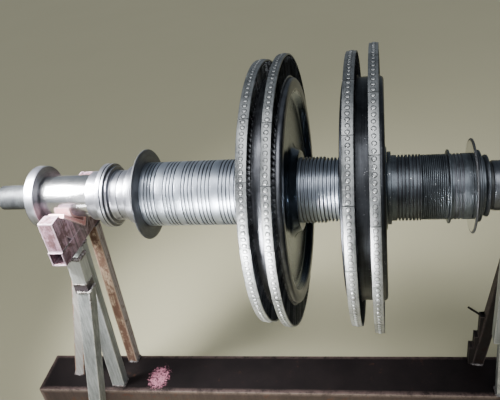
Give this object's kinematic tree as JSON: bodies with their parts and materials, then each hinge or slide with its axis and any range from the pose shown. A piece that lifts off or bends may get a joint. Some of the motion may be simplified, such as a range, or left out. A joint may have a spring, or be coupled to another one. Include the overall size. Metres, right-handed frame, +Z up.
{
  "type": "steam turbine rotor",
  "caption": "Steam turbine rotor with two wheels of shrouded blades, gland sleeves and slinger discs on a shaft that turns in two trestle saddles on a base beam.",
  "frame": {"origin": "on the floor, under the middle of the overall box", "axes": "+X along the rotor axis towards the darker gland end, +Y away from the viewer of the picture, +Z up"},
  "size_m": [1.7912, 0.703, 1.1565],
  "materials": {
    "polished_steel": "ground and polished journals",
    "turned_steel": "fine turned",
    "dark_steel": "dark oxidised, with polished webs",
    "blade_steel": "dark, satin",
    "band_steel": "dull grey, scratched",
    "red_primer": "worn dark red primer",
    "saddle_lining": "matt",
    "grey_steel": "dull mill finish with rust at the edges",
    "rusty_steel": "rusted"
  },
  "bodies": {
    "stand": {"base_beam": "red_primer", "bearer_left": "red_primer", "bearer_right": "red_primer", "front_leg_left": "grey_steel", "front_leg_right": "grey_steel", "outer_leg_left": "grey_steel", "outer_leg_right": "grey_steel", "prop_foot_left": "red_primer", "prop_foot_right": "red_primer", "prop_lower_left": "grey_steel", "prop_lower_right": "grey_steel", "prop_upper_left": "grey_steel", "prop_upper_right": "grey_steel", "rear_leg_left": "rusty_steel", "rear_leg_right": "rusty_steel", "saddle_left": "red_primer", "saddle_liner_left": "saddle_lining", "saddle_liner_right": "saddle_lining", "saddle_right": "red_primer"},
    "rotor": {"blade_row_1": "blade_steel", "blade_row_2": "blade_steel", "blade_row_3": "blade_steel", "blade_row_4": "blade_steel", "end_collar_left": "turned_steel", "end_collar_right": "dark_steel", "gland_sleeve_left": "turned_steel", "gland_sleeve_middle": "turned_steel", "gland_sleeve_right": "dark_steel", "oil_ring_left": "turned_steel", "oil_ring_right": "dark_steel", "seal_ring_left": "turned_steel", "shaft": "polished_steel", "shroud_band_1": "band_steel", "shroud_band_2": "band_steel", "shroud_band_3": "band_steel", "shroud_band_4": "band_steel", "slinger_left": "dark_steel", "slinger_right": "dark_steel", "spacer_ring_left": "turned_steel", "thrust_ring_right": "dark_steel", "wheel_1": "dark_steel", "wheel_2": "dark_steel"}
  },
  "joints": [
    {"name": "rotor_spin", "type": "hinge", "parent": "stand", "child": "rotor", "pos_m": [0, 0, 0.805], "axis": [1, 0, 0], "continuous": true}
  ]
}
